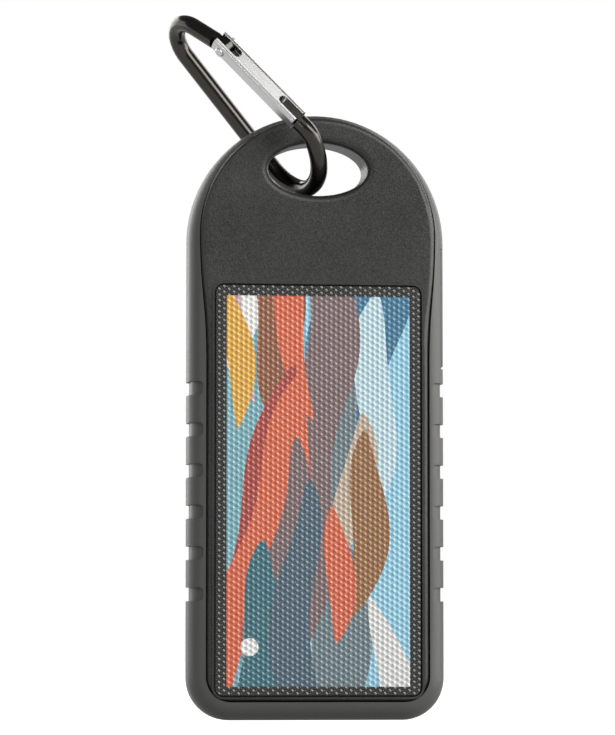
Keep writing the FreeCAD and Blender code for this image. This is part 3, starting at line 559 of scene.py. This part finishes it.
# name, tone, roughness, then what differs from the usual grain
finishes = {
    "shell_plastic": grained("shellPlastic", (0.022, 0.023, 0.022), 0.41, pitch=3400, lift=2.0,
                             bump=1.0, depth=0.03 * mm),
    "bumper_rubber": grained("bumperRubber", (0.07, 0.07, 0.068), 0.45, pitch=2600, lift=0.12,
                             bump=0.25),
    "seal": grained("sealRubber", (0.03, 0.03, 0.032), 0.6),
    "glue": grained("glueFilm", (0.35, 0.34, 0.3), 0.35),
    "board": grained("boardLacquer", (0.01, 0.07, 0.03), 0.3),
    "battery": grained("pouchFoil", (0.45, 0.46, 0.48), 0.35, Metallic=0.8),
    "foam": grained("foamPad", (0.02, 0.02, 0.02), 0.9),
    "lead": grained("leadSleeve", (0.35, 0.02, 0.015), 0.4),
    "socket_steel": grained("socketSteel", (0.55, 0.55, 0.56), 0.28, Metallic=1.0),
    "socket_plastic": grained("socketPlastic", (0.02, 0.02, 0.022), 0.4),
    "chip": grained("chipResin", (0.02, 0.02, 0.022), 0.45),
    "button_rubber": grained("buttonRubber", (0.045, 0.045, 0.045), 0.5),
    "led": grained("ledResin", (0.75, 0.72, 0.5), 0.3),
    "lens": grained("clearLens", (0.85, 0.87, 0.9), 0.12, lift=0.05, bump=0.02,
                    Transmission_Weight=0.9, IOR=1.49),
    "reflector": grained("reflectorMirror", (0.8, 0.8, 0.8), 0.12, Metallic=1.0),
    "screw_steel": grained("screwSteel", (0.3, 0.3, 0.31), 0.3, Metallic=1.0),
    "pin_steel": grained("pinSteel", (0.6, 0.6, 0.6), 0.25, Metallic=1.0),
    "solar_cell": grained("solarCell", (0.012, 0.02, 0.07), 0.2),
    "ribbon": grained("tinnedRibbon", (0.6, 0.6, 0.6), 0.3, Metallic=1.0),
    "solar_laminate": solarFilm(),
    "face_print": facePrint(),
    "clip_black": grained("clipBlack", (0.065, 0.062, 0.056), 0.18, pitch=900, lift=0.05,
                          bump=0.02, Metallic=1.0),
    "gate_silver": drawn("gateSilver", (0.62, 0.62, 0.625), 0.3, gateAxis, spread=0.1,
                         bump=0.015, Metallic=1.0),
}
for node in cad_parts.values():
    for place in node.material_slots:
        place.material = finishes[place.material.name.split(".")[0]]
print("finishes made")


def grownVerts(grown):
    return [item for item in grown if isinstance(item, bmesh.types.BMVert)]


def grownEdges(grown):
    return [item for item in grown if isinstance(item, bmesh.types.BMEdge)]


def newObject(name, mesh):
    item = bpy.data.objects.new(name, mesh)
    scene.collection.objects.link(item)
    return item


# one six-sided cell with a round hollow in its middle, in the XY plane
def dimpleCell(spec):
    cell = bmesh.new()
    flat = spec["pitch"] / 2
    bmesh.ops.create_circle(cell, segments=spec["sides"], radius=flat)
    for vert in cell.verts:
        turn = math.degrees(math.atan2(vert.co.y, vert.co.x))
        toFlat = abs(turn % 60 - 30)      # degrees from the middle of a hexagon's side
        vert.co = vert.co * (1 / math.cos(math.radians(toFlat)))
        vert.co.z = spec["depth"]
    edges = list(cell.edges)
    for share, lift in spec["rings"]:
        grown = bmesh.ops.extrude_edge_only(cell, edges=edges)["geom"]
        edges = grownEdges(grown)
        for vert in grownVerts(grown):
            vert.co = Vector((vert.co.x, vert.co.y, 0)).normalized() * flat * share
            vert.co.z = spec["depth"] * lift
    floor = bmesh.ops.contextual_create(cell, geom=edges)["faces"]
    for vert in bmesh.ops.poke(cell, faces=floor)["verts"]:
        vert.co.z = 0
    bmesh.ops.recalc_face_normals(cell, faces=cell.faces)
    return cell


# a field of cells wider than the sheet, staggered column by column
def cellField(name, spec):
    column = spec["pitch"] * math.sqrt(3) / 2
    columns = math.ceil(spec["width"] / column / 2) + 1
    rows = math.ceil(spec["height"] / spec["pitch"]) + 3
    pair = dimpleCell(spec)
    twin = bmesh.ops.duplicate(pair, geom=pair.verts[:] + pair.edges[:] + pair.faces[:])["geom"]
    bmesh.ops.translate(pair, verts=grownVerts(twin), vec=(column, spec["pitch"] / 2, 0))
    bmesh.ops.translate(pair, verts=pair.verts,
                        vec=(-columns * column, -rows * spec["pitch"] / 2, 0))
    mesh = bpy.data.meshes.new(name + "Pair")
    pair.to_mesh(mesh)
    pair.free()
    item = newObject(name + "Pair", mesh)
    for count, step in ((columns + 1, (2 * column, 0, 0)), (rows, (0, spec["pitch"], 0))):
        array = item.modifiers.new("rows", "ARRAY")
        array.count = count
        array.use_relative_offset = False
        array.use_constant_offset = True
        array.constant_offset_displace = step
    bpy.context.view_layer.update()
    finished = item.evaluated_get(bpy.context.evaluated_depsgraph_get())
    field = bpy.data.meshes.new_from_object(finished)
    bpy.data.objects.remove(item)
    bpy.data.meshes.remove(mesh)
    return field


# rounds one corner of a flat field with short straight cuts
def trimCorner(bm, spec, signX, signY):
    radius, cuts = spec["corner"], spec["cornerCuts"]
    centre = Vector((signX * (spec["width"] / 2 - radius),
                     signY * (spec["height"] / 2 - radius), 0))
    for i in range(cuts):
        turn = math.radians(90 * (i + 0.5) / cuts)
        out = Vector((math.cos(turn) * signX, math.sin(turn) * signY, 0))
        near = [face for face in bm.faces
                if (face.calc_center_median() - centre).x * signX > -radius
                and (face.calc_center_median() - centre).y * signY > -radius]
        edges = list(dict.fromkeys(edge for face in near for edge in face.edges))
        verts = list(dict.fromkeys(vert for face in near for vert in face.verts))
        bmesh.ops.bisect_plane(bm, geom=near + edges + verts, plane_co=centre + out * radius,
                               plane_no=out, clear_outer=True)


def trimSides(bm, spec):
    for out, reach in ((Vector((1, 0, 0)), spec["width"]), (Vector((-1, 0, 0)), spec["width"]),
                       (Vector((0, 1, 0)), spec["height"]), (Vector((0, -1, 0)), spec["height"])):
        bmesh.ops.bisect_plane(bm, geom=bm.verts[:] + bm.edges[:] + bm.faces[:],
                               plane_co=out * reach / 2, plane_no=out, clear_outer=True)


def dimpledSheet(name, spec):
    field = cellField(name, spec)
    bm = bmesh.new()
    bm.from_mesh(field)
    bpy.data.meshes.remove(field)
    bmesh.ops.remove_doubles(bm, verts=bm.verts, dist=spec["pitch"] * spec["merge"])
    trimSides(bm, spec)
    for signX in (-1, 1):
        for signY in (-1, 1):
            trimCorner(bm, spec, signX, signY)

    # walls and a flat back
    rim = [edge for edge in bm.edges if edge.is_boundary]
    grown = bmesh.ops.extrude_edge_only(bm, edges=rim)["geom"]
    for vert in grownVerts(grown):
        vert.co.z = -abs(spec["bottom"] - spec["back"])
    bmesh.ops.contextual_create(bm, geom=grownEdges(grown))
    bmesh.ops.recalc_face_normals(bm, faces=bm.faces)

    facing = Matrix.Rotation(math.radians(-90 * spec["side"]), 4, "X")
    x, z = spec["centre"]
    stood = Matrix.Translation((x, spec["bottom"], z)) @ facing
    bmesh.ops.transform(bm, matrix=stood, verts=bm.verts)
    mesh = bpy.data.meshes.new(name)
    bm.to_mesh(mesh)
    bm.free()
    cellArea = spec["pitch"] ** 2
    for polygon in mesh.polygons:      # the hollows are smooth, the walls and back flat
        polygon.use_smooth = abs(polygon.normal.y) > 0.5 and polygon.area < cellArea
    return newObject(name, mesh)


facePlate = dimpledSheet("facePlate", faceSheet)
facePlate.data.materials.append(finishes["face_print"])
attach(facePlate, "case")
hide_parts("face_plate")
solarCover = dimpledSheet("solarCover", solarSheet)
solarCover.data.materials.append(finishes["solar_laminate"])
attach(solarCover, "case")
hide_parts("solar_laminate")
print("dimpled sheets:", len(facePlate.data.polygons), len(solarCover.data.polygons), "faces")

# turned pieces on the rear face
turning = {"steps": 64, "merge": 0.001 * mm, "sharp": 40}      # sharp in degrees
torchLens = {
    "dome": 0.25 * mm, "bead": 0.12 * mm, "beadWidth": 0.55 * mm,
    "beadSteps": 8, "domeSteps": 8,
}
powerButton = {
    "stem": 3.4 * mm, "flange": 4.1 * mm, "flangeFoot": 3.3 * mm, "flangeTop": 4.1 * mm,
    "dish": 0.34 * mm, "crest": 2.85 * mm, "edge": 0.42 * mm,
    "edgeSteps": 6, "dishSteps": 8,
}


# profile points are (radius, depth) from the axis outwards and back to it
def turnedPiece(name, node, profile):
    low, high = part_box(node)
    centre = Vector(((low[0] + high[0]) / 2, 0, (low[2] + high[2]) / 2))
    bm = bmesh.new()
    verts = [bm.verts.new((radius, depth, 0)) for radius, depth in profile]
    edges = [bm.edges.new(pair) for pair in zip(verts, verts[1:])]
    bmesh.ops.spin(bm, geom=verts + edges, cent=(0, 0, 0), axis=(0, 1, 0), dvec=(0, 0, 0),
                   angle=2 * math.pi, steps=turning["steps"], use_merge=True,
                   use_duplicate=False)
    bmesh.ops.remove_doubles(bm, verts=bm.verts, dist=turning["merge"])
    bmesh.ops.recalc_face_normals(bm, faces=bm.faces)
    bmesh.ops.translate(bm, verts=bm.verts, vec=centre)
    mesh = bpy.data.meshes.new(name)
    bm.to_mesh(mesh)
    bm.free()
    mesh.shade_smooth()
    mesh.set_sharp_from_angle(angle=math.radians(turning["sharp"]))
    return newObject(name, mesh)


def lensProfile():
    low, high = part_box("torch_lens")
    radius, back, front = (high[0] - low[0]) / 2, low[1], high[1]
    lens = torchLens
    half = lens["beadWidth"] / 2
    points = [(0, back), (radius, back), (radius, front)]
    for i in range(1, lens["beadSteps"]):
        turn = math.pi * i / lens["beadSteps"]
        points.append((radius - half + math.cos(turn) * half,
                       front + math.sin(turn) * lens["bead"]))
    for i in range(lens["domeSteps"] + 1):
        share = 1 - i / lens["domeSteps"]
        points.append(((radius - 2 * half) * share, front + lens["dome"] * (1 - share ** 2)))
    return points


def buttonProfile():
    low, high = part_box("power_button")
    foot, top = low[1], high[1]
    button = powerButton
    stem, flange, edge = button["stem"], button["flange"], button["edge"]
    flangeFoot, flangeTop = button["flangeFoot"], button["flangeTop"]
    points = [(0, foot), (stem, foot), (stem, flangeFoot), (flange, flangeFoot),
              (flange, flangeTop), (stem, flangeTop)]
    for i in range(button["edgeSteps"] + 1):
        turn = math.pi / 2 * i / button["edgeSteps"]
        points.append((stem - edge * (1 - math.cos(turn)), top - edge * (1 - math.sin(turn))))
    points.append((button["crest"], top))
    for i in range(1, button["dishSteps"] + 1):
        share = 1 - i / button["dishSteps"]
        sunk = (1 + math.cos(math.pi * share)) / 2
        points.append((button["crest"] * share, top - button["dish"] * sunk))
    return points


for name, node, body, slot, profile in (
        ("torchLens", "torch_lens", "case", "lens", lensProfile()),
        ("powerButton", "power_button", "power_button", "button_rubber", buttonProfile())):
    piece = turnedPiece(name, node, profile)
    piece.data.materials.append(finishes[slot])
    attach(piece, body)
    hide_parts(node)
print("lens and button turned")
